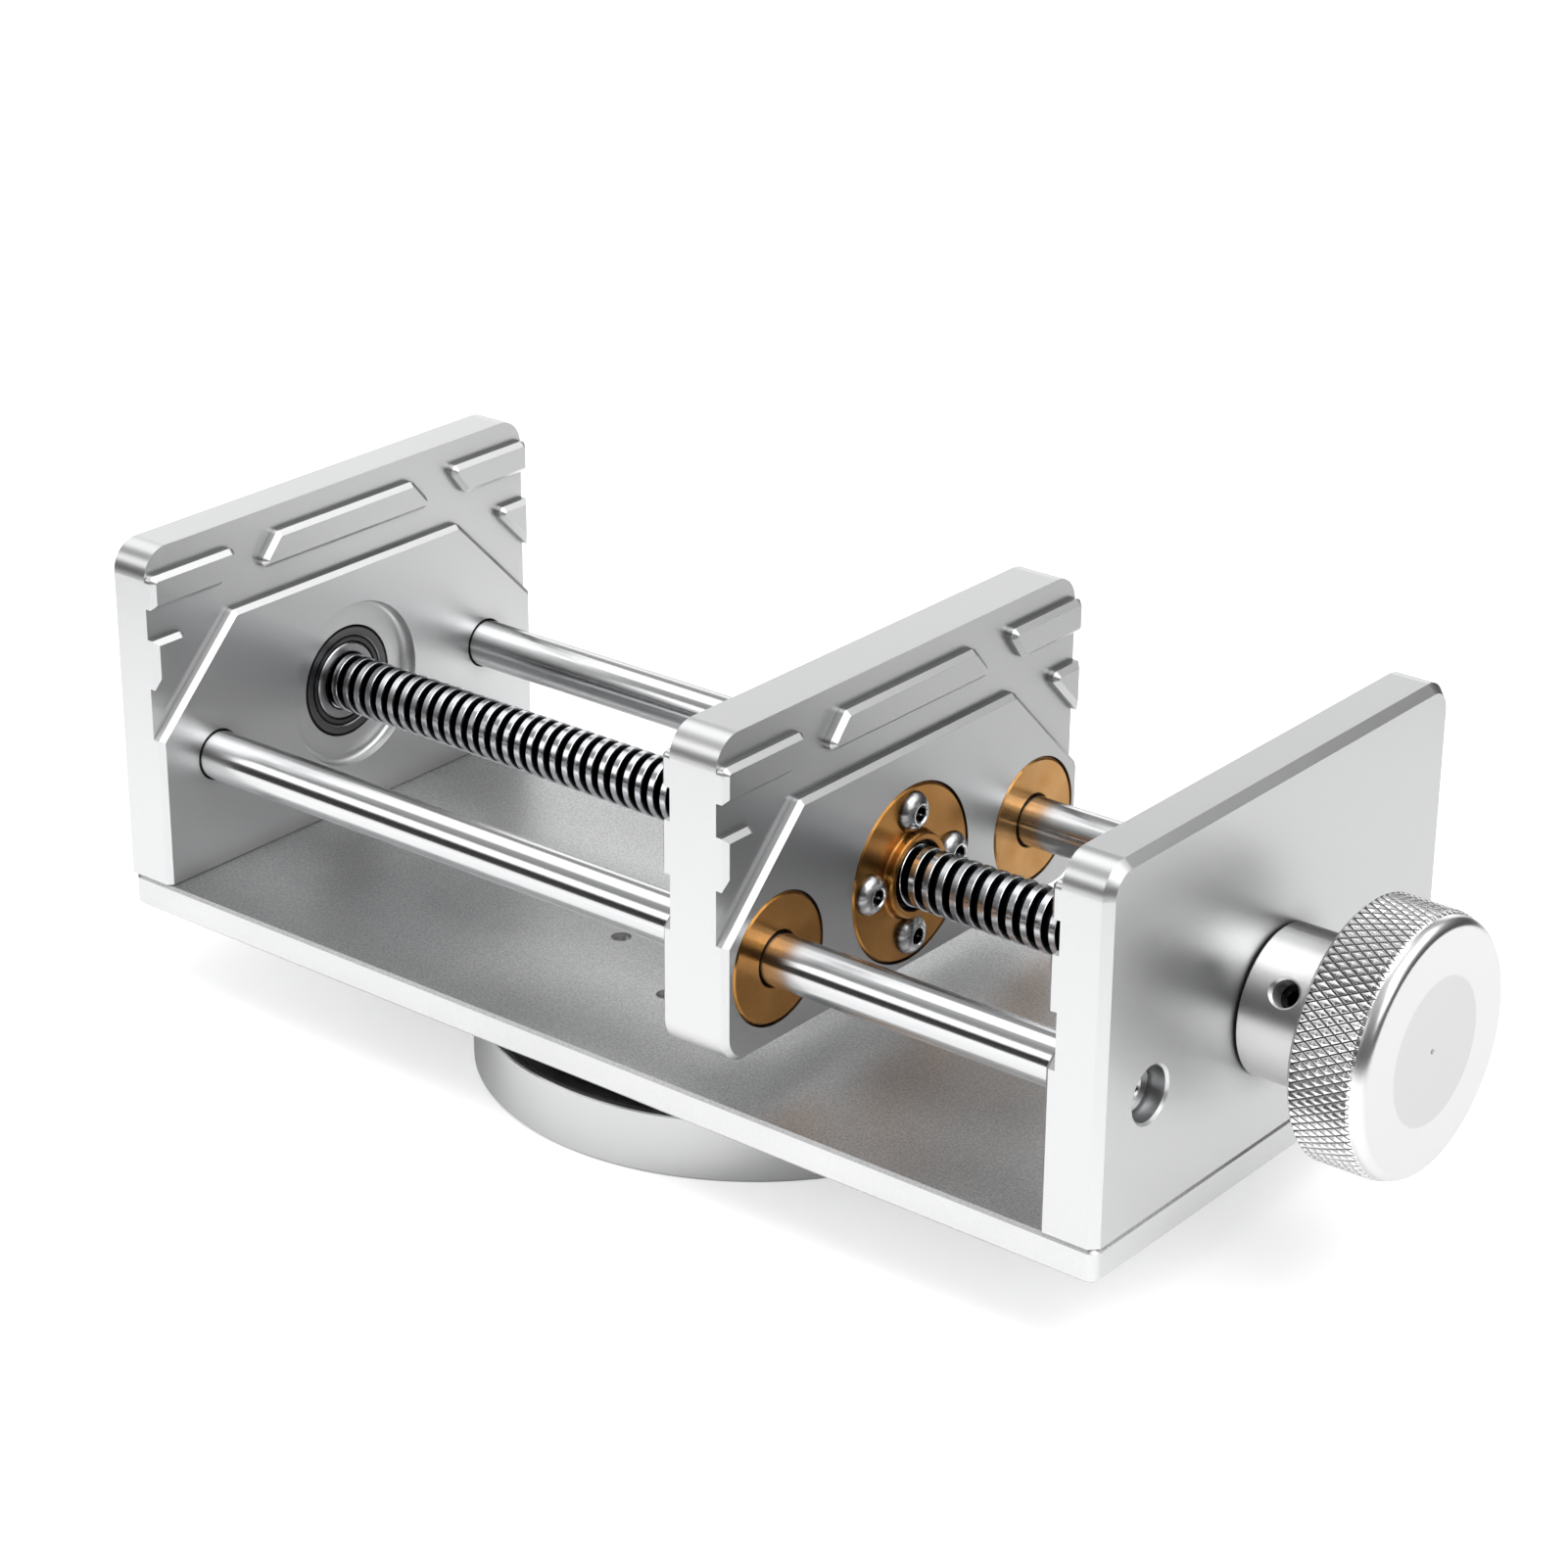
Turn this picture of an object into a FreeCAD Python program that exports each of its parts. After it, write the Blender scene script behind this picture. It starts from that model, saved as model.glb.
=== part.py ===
import FreeCAD, Part
import math
import os

# Mini bench vise: three machined plates on a base plate, two guide rods and a lead screw
# between the outer plates, and a round swivel base under the lot.
# Millimetres. The origin is the middle of the underside of the swivel base, +Z is up, and
# +X runs along the lead screw from the fixed jaw to the knob.

# Base plate and the three upright plates
jaw_width = 108.0
base_length = 235.5
base_thickness = 6.4
base_corner_radius = 2.0
base_edge_chamfer = 0.6
plate_height = 70.8
plate_corner_radius = 6.0
fixed_jaw_thickness = 10.8
moving_jaw_thickness = 15.2
end_plate_thickness = 11.9
end_plate_bevel = 1.6
jaw_opening = 129.1
jaw_floor_gap = 7.4
plate_foot_chamfer = 0.25

# Milled relief of the clamping faces, with heights above the base plate
relief_depth = 2.3
land_edge_chamfer = 1.0
land_corner_radius = 1.4
main_land_side_height = 31.5
main_land_shoulder = 21.4
side_land_low = 42.3
side_land_high = 52.7
bar_low = 59.1
bar_high = 65.9
side_bar_low_length = 18.9
side_bar_high_length = 24.2
bar_low_spacing = 9.6
bar_high_spacing = 10.3

# Guide rods and their bushes
rod_diameter = 10.0
rod_web_share = 0.8063
rod_height = 24.2
rod_seat_depth = 2.5
rod_mouth_depth = 0.8
rod_chamfer = 0.6
rod_tap_depth = 12.0
rod_screw_web = 1.7
rod_screw_mouth = 0.5
bush_flange_diameter = 25.3
bush_flange_thickness = 3.0
bush_barrel_diameter = 15.0
bush_mouth_depth = 1.2
bush_mouth_gap = 0.4
flange_edge_chamfer = 0.5

# Lead screw and nut
screw_height = 27.1
screw_diameter = 12.0
front_journal_diameter = 10.0
nut_flange_diameter = 35.2
nut_flange_thickness = 4.0
nut_barrel_diameter = 20.0
nut_boss_diameter = 17.0
nut_boss_height = 2.0
nut_boss_fillet = 0.6
nut_mouth_gap = 0.9
nut_mouth_depth = 1.6
nut_thread_gap = 0.075

# Ball bearings of the lead screw
rear_bearing_outer = 24.0
front_bearing_outer = 22.0
bearing_width = 6.0
bearing_recess_diameter = 35.4
bearing_recess_depth = 2.5
bearing_recess_fillet = 1.6
bearing_back_relief = 0.7
outer_ring_wall = 2.4
inner_ring_wall = 2.2
ring_edge_chamfer = 0.35
ball_diameter = 3.4
ball_count = 9
shield_thickness = 0.3
shield_setback = 0.2
thrust_spacer_diameter = 14.0

# Knob, a knurled head on a hub, turned in one piece
knob_gap = 0.4
knob_hub_diameter = 28.3
knob_hub_length = 16.4
knob_hub_chamfer = 0.3
knob_head_diameter = 48.6
knob_head_length = 14.8
knob_front_fillet = 2.4
knob_rear_bevel = 0.8
knob_dish_diameter = 27.4
knob_dish_depth = 0.5
knob_centre_mark = 0.6
knob_bore_depth = 12.0
set_screw_diameter = 5.0
set_screw_length = 5.0
set_screw_hexagon = 2.5
set_screw_place = 8.2
set_screw_angle = 145.0
set_screw_mouth = 0.3

# Screws: thread, head and crown diameters, height of a raised head, width of the hexagon
# socket, and length (a countersunk one is measured with its head)
nut_screw = dict(thread=4.0, head=8.0, crown=4.3, rise=2.2, hexagon=3.0, length=11.0)
rod_screw = dict(thread=6.0, head=10.0, rise=4.0, hexagon=4.0, length=10.0)
plate_screw = dict(thread=5.0, head=9.2, hexagon=3.0, length=16.0)
turntable_screw = dict(thread=4.0, head=7.5, hexagon=2.5, length=10.0)
pivot_screw = dict(thread=8.0, head=15.0, hexagon=5.0, length=18.0)
nut_screw_circle = 25.0
nut_screw_count = 4
turntable_screw_circle = 53.0
turntable_screw_count = 6
button_rim = 0.3
button_bulge = 0.3
countersunk_rim = 0.3
socket_share = 0.6
socket_mouth = 0.15

# Swivel base and the turntable that turns in it
swivel_diameter = 110.0
swivel_height = 12.6
swivel_rim_gap = 2.4
swivel_rim_land = 0.8
swivel_rim_fillet = 2.6
swivel_well_depth = 3.4
swivel_edge_chamfer = 0.5
turntable_rim_gap = 5.6
turntable_edge_chamfer = 0.5
thrust_ring_thickness = 1.0
thrust_ring_width = 10.0
thrust_ring_setback = 3.0
pivot_well_diameter = 44.0
pivot_well_height = 5.8
pivot_hub_diameter = 16.0
pivot_flange_diameter = 32.0
pivot_flange_thickness = 3.9
pivot_washer_diameter = 40.0
pivot_washer_thickness = 0.8

# Clearances
press_gap = 0.02
running_gap = 0.05
hole_gap = 0.15
flange_gap = 0.3
edge_break = 0.2
thread_end_gap = 1.0

# Places that follow from the sizes above
half_width = jaw_width / 2
half_length = base_length / 2
plate_screw_spacing = jaw_width / 3
free_half_width = half_width - nut_flange_diameter / 2 - bush_flange_diameter
rod_half_spacing = (
    nut_flange_diameter / 2 + rod_web_share * free_half_width + bush_flange_diameter / 2)
base_underside = swivel_height + swivel_rim_gap
deck = base_underside + base_thickness
plate_top = deck + plate_height
screw_z = deck + screw_height
rod_z = deck + rod_height
fixed_face = -half_length + fixed_jaw_thickness
end_face = half_length - end_plate_thickness
moving_low_face = fixed_face + jaw_opening
moving_high_face = moving_low_face + moving_jaw_thickness
recess_floor = fixed_face - bearing_recess_depth
rear_bearing_back = recess_floor - bearing_width
front_bearing_back = end_face + bearing_width
hub_start = half_length + knob_gap
knob_head_start = hub_start + knob_hub_length
knob_front = knob_head_start + knob_head_length
well_floor = swivel_height - swivel_well_depth
well_radius = swivel_diameter / 2 - swivel_rim_land - swivel_rim_fillet
turntable_radius = well_radius - turntable_rim_gap
turntable_underside = well_floor + thrust_ring_thickness + running_gap
pivot_flange_top = pivot_well_height - pivot_washer_thickness - running_gap
pivot_flange_bottom = pivot_flange_top - pivot_flange_thickness

X = FreeCAD.Vector(1, 0, 0)
Z = FreeCAD.Vector(0, 0, 1)


def vec(x, y, z):
    return FreeCAD.Vector(x, y, z)


def cylinder_x(diameter, x0, x1, y, z):
    return Part.makeCylinder(diameter / 2, x1 - x0, vec(x0, y, z), X)


def cylinder_z(diameter, z0, z1, x=0.0, y=0.0):
    return Part.makeCylinder(diameter / 2, z1 - z0, vec(x, y, z0), Z)


def turned_x(profile, y, z):
    # Turned about a line along X, from (x, radius) corners
    points = [vec(x, 0, radius) for x, radius in profile]
    face = Part.Face(Part.makePolygon(points + [points[0]]))
    solid = face.revolve(vec(0, 0, 0), X, 360)
    solid.translate(vec(0, y, z))
    return solid


def turned_z(profile, x=0.0, y=0.0):
    # Turned about a line along Z, from (radius, z) corners
    points = [vec(radius, 0, z) for radius, z in profile]
    face = Part.Face(Part.makePolygon(points + [points[0]]))
    solid = face.revolve(vec(0, 0, 0), Z, 360)
    solid.translate(vec(x, y, 0))
    return solid


def ring_places(count, circle):
    # Centres of a ring of holes, as (across, up) from the middle of the ring
    places = []
    for index in range(count):
        angle = 2 * math.pi * index / count
        places.append((circle / 2 * math.sin(angle), circle / 2 * math.cos(angle)))
    return places


def socket(across_flats, depth, mouth, inward):
    # Hexagon socket with a coned mouth, which starts at the point mouth and runs inward
    corner_radius = across_flats / math.sqrt(3)
    corners = []
    for index in range(7):
        angle = math.radians(60 * index)
        corners.append(vec(corner_radius * math.cos(angle), corner_radius * math.sin(angle), 0))
    prism = Part.Face(Part.makePolygon(corners)).extrude(vec(0, 0, depth))
    wide = corner_radius + socket_mouth
    tool = prism.fuse(Part.makeCone(wide, across_flats / 2, wide - across_flats / 2))
    tool.Placement = FreeCAD.Placement(mouth, FreeCAD.Rotation(Z, inward))
    return tool


def edges_at_x(shape, x):
    # Edges that lie wholly in the plane at x
    found = []
    for edge in shape.Edges:
        bounds = edge.BoundBox
        if abs(bounds.XMin - x) < 1e-5 and abs(bounds.XMax - x) < 1e-5:
            found.append(edge)
    return found


def edges_at_z(shape, z):
    # Edges that lie wholly in the plane at z
    found = []
    for edge in shape.Edges:
        bounds = edge.BoundBox
        if abs(bounds.ZMin - z) < 1e-5 and abs(bounds.ZMax - z) < 1e-5:
            found.append(edge)
    return found


def round_edges(shape, diameter, centre_x=None, centre_z=None):
    # Circular edges of one diameter, with their centre at this x or z where one is given
    found = []
    for edge in shape.Edges:
        if not isinstance(edge.Curve, Part.Circle):
            continue
        centre = edge.Curve.Center
        right_size = abs(edge.Curve.Radius - diameter / 2) < 1e-5
        right_x = centre_x is None or abs(centre.x - centre_x) < 1e-5
        right_z = centre_z is None or abs(centre.z - centre_z) < 1e-5
        if right_size and right_x and right_z:
            found.append(edge)
    return found


def plate_blank(x0, x1, z0, bottom_radius):
    # Upright plate with rounded top corners, and rounded bottom ones where it has them
    height = plate_top - z0
    blank = Part.makeBox(x1 - x0, jaw_width, height, vec(x0, -half_width, z0))
    top_edges = []
    bottom_edges = []
    for edge in blank.Edges:
        bounds = edge.BoundBox
        if bounds.XMax - bounds.XMin < (x1 - x0) / 2:
            continue
        if bounds.ZMax > z0 + height / 2:
            top_edges.append(edge)
        else:
            bottom_edges.append(edge)
    if bottom_radius == 0:
        return blank.makeFillet(plate_corner_radius, top_edges)
    return blank.makeFillet(plate_corner_radius, top_edges + bottom_edges)


def land_outlines(low):
    # Corners (across, height) of the raised lands that milling leaves on a clamping face
    main_top = main_land_side_height + main_land_shoulder
    main_half = half_width - main_land_shoulder
    side_tip = half_width - (side_land_high - side_land_low)
    side_bar_low_half = half_width - side_bar_low_length
    side_bar_high_half = half_width - side_bar_high_length
    centre_low_half = side_bar_low_half - bar_low_spacing
    centre_high_half = side_bar_high_half - bar_high_spacing
    lands = [
        [(-half_width, low), (half_width, low),
         (half_width, main_land_side_height), (main_half, main_top),
         (-main_half, main_top), (-half_width, main_land_side_height)],
        [(-centre_low_half, bar_low), (centre_low_half, bar_low),
         (centre_high_half, bar_high), (-centre_high_half, bar_high)]]
    for side in (-1, 1):
        lands.append([
            (side * half_width, side_land_low), (side * half_width, side_land_high),
            (side * side_tip, side_land_high)])
        lands.append([
            (side * half_width, bar_low), (side * side_bar_low_half, bar_low),
            (side * side_bar_high_half, bar_high), (side * half_width, bar_high)])
    return lands


def land_corners(land):
    # Corner edges of a land that lie away from the rim of the plate
    found = []
    for edge in land.Edges:
        bounds = edge.BoundBox
        inside = max(-bounds.YMin, bounds.YMax) < half_width - 1e-3
        if bounds.XLength > relief_depth / 2 and inside:
            found.append(edge)
    return found


def lands_of_face(face_x, outward, z0, bottom_radius):
    # Lands from the milled floor out to the face, with round corners and chamfered edges
    floor_x = face_x - outward * relief_depth
    limit = plate_blank(min(floor_x, face_x), max(floor_x, face_x), z0, bottom_radius)
    lands = []
    for corners in land_outlines(z0 - deck):
        points = [vec(floor_x, across, deck + height) for across, height in corners]
        outline = Part.Face(Part.makePolygon(points + [points[0]]))
        land = outline.extrude(vec(outward * relief_depth, 0, 0)).common(limit)
        land = land.makeFillet(land_corner_radius, land_corners(land))
        rim = [edge for edge in edges_at_x(land, face_x) if edge.BoundBox.ZMax > z0 + 1e-3]
        lands.append(land.makeChamfer(land_edge_chamfer, rim))
    return lands


def relieved_plate(x0, x1, z0, bottom_radius, low_relief, high_relief):
    # Upright plate with the relief milled into its low-x face, its high-x face or both
    core_x0 = x0 + relief_depth if low_relief else x0
    core_x1 = x1 - relief_depth if high_relief else x1
    plate = plate_blank(core_x0, core_x1, z0, bottom_radius)
    lands = []
    if low_relief:
        lands += lands_of_face(x0, -1, z0, bottom_radius)
    if high_relief:
        lands += lands_of_face(x1, 1, z0, bottom_radius)
    return plate.fuse(lands).removeSplitter()


def plate_screw_places():
    # Screws that hold the fixed jaw and the end plate down, by plate
    middles = {
        "fixed": -half_length + fixed_jaw_thickness / 2,
        "end": half_length - end_plate_thickness / 2}
    places = {}
    for name, x in middles.items():
        places[name] = [(x, plate_screw_spacing * step) for step in (-1, 0, 1)]
    return places


def plate_screw_holes(name):
    # Tapped holes up into the foot of an upright plate
    top = base_underside + plate_screw["length"] + thread_end_gap
    diameter = plate_screw["thread"] + 2 * press_gap
    return [cylinder_z(diameter, deck - 1, top, x, y) for x, y in plate_screw_places()[name]]


def rod_end_tools(inner_face, outer_face):
    # Seat of a rod in the inner face and the counterbore of its screw in the outer face
    outward = 1 if outer_face > inner_face else -1
    seat_end = inner_face + outward * rod_seat_depth
    head_floor = seat_end + outward * rod_screw_web
    mouth = outer_face - outward * rod_screw_mouth
    relief_end = inner_face + outward * rod_mouth_depth
    seat = rod_diameter / 2 + press_gap
    relief = rod_diameter / 2 + flange_gap
    shank = rod_screw["thread"] / 2 + hole_gap
    bore = rod_screw["head"] / 2 + hole_gap
    tools = []
    for side in (-1, 1):
        profile = [
            (inner_face - outward, 0), (inner_face - outward, relief), (relief_end, relief),
            (relief_end, seat), (seat_end, seat),
            (seat_end, shank), (head_floor, shank), (head_floor, bore), (mouth, bore),
            (outer_face, bore + rod_screw_mouth),
            (outer_face + outward, bore + rod_screw_mouth),
            (outer_face + outward, 0)]
        tools.append(turned_x(profile, side * rod_half_spacing, rod_z))
    return tools


def fixed_jaw():
    # Fixed jaw, with the rear bearing at the bottom of a round recess
    plate = relieved_plate(-half_length, fixed_face, deck, 0, False, True)
    plate = plate.makeChamfer(plate_foot_chamfer, edges_at_z(plate, deck))
    recess = cylinder_x(bearing_recess_diameter, recess_floor, fixed_face + 5, 0, screw_z)
    floor_edge = round_edges(recess, bearing_recess_diameter, recess_floor)
    recess = recess.makeFillet(bearing_recess_fillet, floor_edge)
    pocket = cylinder_x(
        rear_bearing_outer + 2 * press_gap, rear_bearing_back, fixed_face, 0, screw_z)
    relief = cylinder_x(
        rear_bearing_outer - 2 * outer_ring_wall, rear_bearing_back - bearing_back_relief,
        fixed_face, 0, screw_z)
    tools = [recess, pocket, relief]
    tools += rod_end_tools(fixed_face, -half_length)
    tools += plate_screw_holes("fixed")
    return plate.cut(tools)


def end_plate():
    # End plate with a bevelled outer face, relief inside and the front bearing pocket
    plate = relieved_plate(end_face, half_length, deck, 0, True, False)
    rim = [edge for edge in edges_at_x(plate, half_length) if edge.BoundBox.ZMax > deck + 1e-3]
    plate = plate.makeChamfer(end_plate_bevel, rim)
    plate = plate.makeChamfer(plate_foot_chamfer, edges_at_z(plate, deck))
    tools = [
        cylinder_x(
            front_bearing_outer + 2 * press_gap, end_face - 1, front_bearing_back, 0, screw_z),
        cylinder_x(
            thrust_spacer_diameter + 2 * flange_gap, end_face, half_length + 1, 0, screw_z)]
    tools += rod_end_tools(end_face, half_length)
    tools += plate_screw_holes("end")
    return plate.cut(tools)


def counterbored_bore(flange_diameter, flange_thickness, barrel_diameter, y, z):
    # Through bore of the moving jaw with a counterbore in its high-x face
    flange = flange_diameter / 2 + flange_gap
    barrel = barrel_diameter / 2 + press_gap
    floor = moving_high_face - flange_thickness
    profile = [
        (moving_low_face - 1, 0), (moving_low_face - 1, barrel), (floor, barrel),
        (floor, flange), (moving_high_face + 1, flange), (moving_high_face + 1, 0)]
    return turned_x(profile, y, z)


def moving_jaw():
    # Moving jaw, milled on both faces and bored for the nut and the two bushes
    plate = relieved_plate(
        moving_low_face, moving_high_face, deck + jaw_floor_gap, plate_corner_radius, True, True)
    tools = [counterbored_bore(
        nut_flange_diameter, nut_flange_thickness, nut_barrel_diameter, 0, screw_z)]
    for side in (-1, 1):
        tools.append(counterbored_bore(
            bush_flange_diameter, bush_flange_thickness, bush_barrel_diameter,
            side * rod_half_spacing, rod_z))
    hole_end = moving_high_face - nut_screw["length"] - thread_end_gap
    for across, up in ring_places(nut_screw_count, nut_screw_circle):
        tools.append(cylinder_x(
            nut_screw["thread"] + 2 * press_gap, hole_end, moving_high_face, across, screw_z + up))
    return plate.cut(tools)


def lead_nut():
    # Bronze nut with a flush flange, a barrel through the jaw and a raised boss
    bore = screw_diameter / 2 + nut_thread_gap
    flange = nut_flange_diameter / 2
    flange_back = moving_high_face - nut_flange_thickness
    boss_face = moving_high_face + nut_boss_height
    mouth = bore + nut_mouth_gap
    profile = [
        (moving_low_face, mouth), (moving_low_face, nut_barrel_diameter / 2),
        (flange_back, nut_barrel_diameter / 2), (flange_back, flange),
        (moving_high_face - flange_edge_chamfer, flange),
        (moving_high_face, flange - flange_edge_chamfer),
        (moving_high_face, nut_boss_diameter / 2), (boss_face, nut_boss_diameter / 2),
        (boss_face, mouth + edge_break), (boss_face - edge_break, mouth),
        (boss_face - nut_mouth_depth, mouth), (boss_face - nut_mouth_depth, bore),
        (moving_low_face + nut_mouth_depth, bore), (moving_low_face + nut_mouth_depth, mouth)]
    nut = turned_x(profile, 0, screw_z)
    nut = nut.makeFillet(nut_boss_fillet, round_edges(nut, nut_boss_diameter))
    holes = []
    for across, up in ring_places(nut_screw_count, nut_screw_circle):
        holes.append(cylinder_x(
            nut_screw["thread"] + 2 * hole_gap, flange_back - 1, moving_high_face + 1,
            across, screw_z + up))
    return nut.cut(holes)


def bush(side):
    # Bronze bush with a flush flange, running on its guide rod
    bore = rod_diameter / 2 + running_gap
    flange = bush_flange_diameter / 2
    barrel = bush_barrel_diameter / 2
    flange_back = moving_high_face - bush_flange_thickness
    mouth = bore + bush_mouth_gap
    profile = [
        (moving_low_face, mouth), (moving_low_face, barrel),
        (flange_back, barrel), (flange_back, flange),
        (moving_high_face - flange_edge_chamfer, flange),
        (moving_high_face, flange - flange_edge_chamfer),
        (moving_high_face, mouth + edge_break), (moving_high_face - edge_break, mouth),
        (moving_high_face - bush_mouth_depth, mouth), (moving_high_face - bush_mouth_depth, bore),
        (moving_low_face + bush_mouth_depth, bore), (moving_low_face + bush_mouth_depth, mouth)]
    return turned_x(profile, side * rod_half_spacing, rod_z)


def guide_rod(side):
    # Ground steel rod with a tapped hole in each end
    x0 = fixed_face - rod_seat_depth
    x1 = end_face + rod_seat_depth
    radius = rod_diameter / 2
    tap = rod_screw["thread"] / 2 + press_gap
    profile = [
        (x0, tap), (x0, radius - rod_chamfer), (x0 + rod_chamfer, radius),
        (x1 - rod_chamfer, radius), (x1, radius - rod_chamfer), (x1, tap),
        (x1 - rod_tap_depth, tap), (x1 - rod_tap_depth, 0),
        (x0 + rod_tap_depth, 0), (x0 + rod_tap_depth, tap)]
    return turned_x(profile, side * rod_half_spacing, rod_z)


def rod_screws(inner_face, outward):
    # Low-headed cap screws that pull the rods into their seats in one outer plate
    seat = inner_face + outward * (rod_seat_depth + rod_screw_web)
    top = seat + outward * rod_screw["rise"]
    head = rod_screw["head"] / 2
    shank = rod_screw["thread"] / 2
    rim = top - outward * flange_edge_chamfer
    tip = seat - outward * rod_screw["length"]
    screws = []
    for side in (-1, 1):
        y = side * rod_half_spacing
        screw = turned_x([
            (tip, 0), (tip, shank), (seat, shank), (seat, head), (rim, head),
            (top, head - flange_edge_chamfer), (top, 0)], y, rod_z)
        depth = rod_screw["rise"] * socket_share
        screws.append(screw.cut(
            socket(rod_screw["hexagon"], depth, vec(top, y, rod_z), vec(-outward, 0, 0))))
    return Part.makeCompound(screws)


def button_head(spec, seat, y, z):
    # Low domed head, turned from one arc between its rim and its flat crown
    rim = spec["head"] / 2
    crown = spec["crown"] / 2
    low = vec(seat + button_rim, 0, rim)
    high = vec(seat + spec["rise"], 0, crown)
    chord = high - low
    swell = vec(chord.z, 0, -chord.x).normalize() * -button_bulge
    dome = Part.Arc(low, (low + high) / 2 + swell, high).toShape()
    sides = Part.makePolygon([high, vec(high.x, 0, 0), vec(seat, 0, 0), vec(seat, 0, rim), low])
    head = Part.Face(Part.Wire([dome] + sides.Edges)).revolve(vec(0, 0, 0), X, 360)
    head.translate(vec(0, y, z))
    return head


def nut_screws():
    # Button-headed screws that hold the nut's flange to the moving jaw
    seat = moving_high_face
    screws = []
    for across, up in ring_places(nut_screw_count, nut_screw_circle):
        z = screw_z + up
        head = button_head(nut_screw, seat, across, z)
        shank = cylinder_x(nut_screw["thread"], seat - nut_screw["length"], seat, across, z)
        mouth = vec(seat + nut_screw["rise"], across, z)
        hexagon = socket(
            nut_screw["hexagon"], nut_screw["rise"] * socket_share, mouth, vec(-1, 0, 0))
        screws.append(head.fuse(shank).cut(hexagon))
    return Part.makeCompound(screws)


def countersunk_rise(spec):
    return countersunk_rim + (spec["head"] - spec["thread"]) / 2


def countersunk_screw(spec, underside, x, y):
    # Countersunk screw driven upwards, its head flush with the underside
    head = spec["head"] / 2
    shank = spec["thread"] / 2
    top = underside + spec["length"]
    screw = turned_z([
        (0, underside), (head, underside), (head, underside + countersunk_rim),
        (shank, underside + countersunk_rise(spec)), (shank, top), (0, top)], x, y)
    depth = countersunk_rise(spec) * socket_share
    return screw.cut(socket(spec["hexagon"], depth, vec(x, y, underside), Z))


def countersunk_hole(spec, underside, top, x, y, shank_gap):
    # Hole for a countersunk screw driven upwards through a plate
    head = spec["head"] / 2 + press_gap
    shank = spec["thread"] / 2 + shank_gap
    cone_end = underside + countersunk_rim + head - shank
    return turned_z([
        (0, underside - 1), (head, underside - 1), (head, underside + countersunk_rim),
        (shank, cone_end), (shank, top), (0, top)], x, y)


def plate_screws(name):
    screws = [countersunk_screw(plate_screw, base_underside, x, y)
              for x, y in plate_screw_places()[name]]
    return Part.makeCompound(screws)


def base_plate():
    # Base plate with broken edges, countersunk from below and tapped for the turntable
    plate = Part.makeBox(
        base_length, jaw_width, base_thickness, vec(-half_length, -half_width, base_underside))
    corners = [edge for edge in plate.Edges if edge.BoundBox.ZLength > base_thickness / 2]
    plate = plate.makeFillet(base_corner_radius, corners)
    rims = [edge for edge in plate.Edges if edge.BoundBox.ZLength < 1e-5]
    plate = plate.makeChamfer(base_edge_chamfer, rims)
    tools = []
    for places in plate_screw_places().values():
        for x, y in places:
            tools.append(countersunk_hole(
                plate_screw, base_underside, deck + 1, x, y, hole_gap))
    for x, y in ring_places(turntable_screw_count, turntable_screw_circle):
        tools.append(cylinder_z(
            turntable_screw["thread"] + 2 * press_gap, base_underside - 1, deck + 1, x, y))
    tools.append(cylinder_z(
        pivot_screw["thread"] + 2 * press_gap, base_underside - 1,
        pivot_flange_bottom + pivot_screw["length"] + thread_end_gap))
    return plate.cut(tools)


def turntable():
    # Black disc screwed under the base plate, which turns in the well of the swivel base
    radius = turntable_radius
    edge = turntable_edge_chamfer
    bore = pivot_screw["thread"] / 2 + hole_gap
    disc = turned_z([
        (bore, turntable_underside), (radius - edge, turntable_underside),
        (radius, turntable_underside + edge), (radius, base_underside - edge),
        (radius - edge, base_underside), (bore, base_underside)])
    holes = []
    for x, y in ring_places(turntable_screw_count, turntable_screw_circle):
        holes.append(countersunk_hole(
            turntable_screw, turntable_underside, base_underside + 1, x, y, hole_gap))
    return disc.cut(holes)


def turntable_screws():
    screws = [countersunk_screw(turntable_screw, turntable_underside, x, y)
              for x, y in ring_places(turntable_screw_count, turntable_screw_circle)]
    return Part.makeCompound(screws)


def swivel_base():
    # Round foot: a dished rim, a well for the turntable and a pivot well underneath
    radius = swivel_diameter / 2
    well = well_radius
    bore = pivot_hub_diameter / 2 + running_gap
    edge = swivel_edge_chamfer
    foot = turned_z([
        (pivot_well_diameter / 2, 0), (radius - edge, 0), (radius, edge),
        (radius, swivel_height - edge / 2), (radius - edge / 2, swivel_height),
        (well, swivel_height), (well, well_floor), (bore, well_floor),
        (bore, pivot_well_height), (pivot_well_diameter / 2, pivot_well_height)])
    lip = round_edges(foot, 2 * well, centre_z=swivel_height)
    return foot.makeFillet(swivel_rim_fillet, lip)


def washer(inner, outer, z0, z1):
    return cylinder_z(outer, z0, z1).cut(cylinder_z(inner, z0 - 1, z1 + 1))


def pivot_hub():
    # Flanged hub that carries the turntable's pivot screw and holds the vise down
    bore = pivot_screw["thread"] / 2 + hole_gap
    hub = turned_z([
        (bore, pivot_flange_bottom), (pivot_flange_diameter / 2, pivot_flange_bottom),
        (pivot_flange_diameter / 2, pivot_flange_top), (pivot_hub_diameter / 2, pivot_flange_top),
        (pivot_hub_diameter / 2, turntable_underside), (bore, turntable_underside)])
    return hub.cut(countersunk_hole(
        pivot_screw, pivot_flange_bottom, turntable_underside + 1, 0, 0, hole_gap))


def bearing_ring(outer, inner, x0, x1):
    # Ring with its four edges broken
    ring = cylinder_x(outer, x0, x1, 0, screw_z).cut(
        cylinder_x(inner, x0 - 1, x1 + 1, 0, screw_z))
    edges = round_edges(ring, outer) + round_edges(ring, inner)
    return ring.makeChamfer(ring_edge_chamfer, edges)


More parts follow.
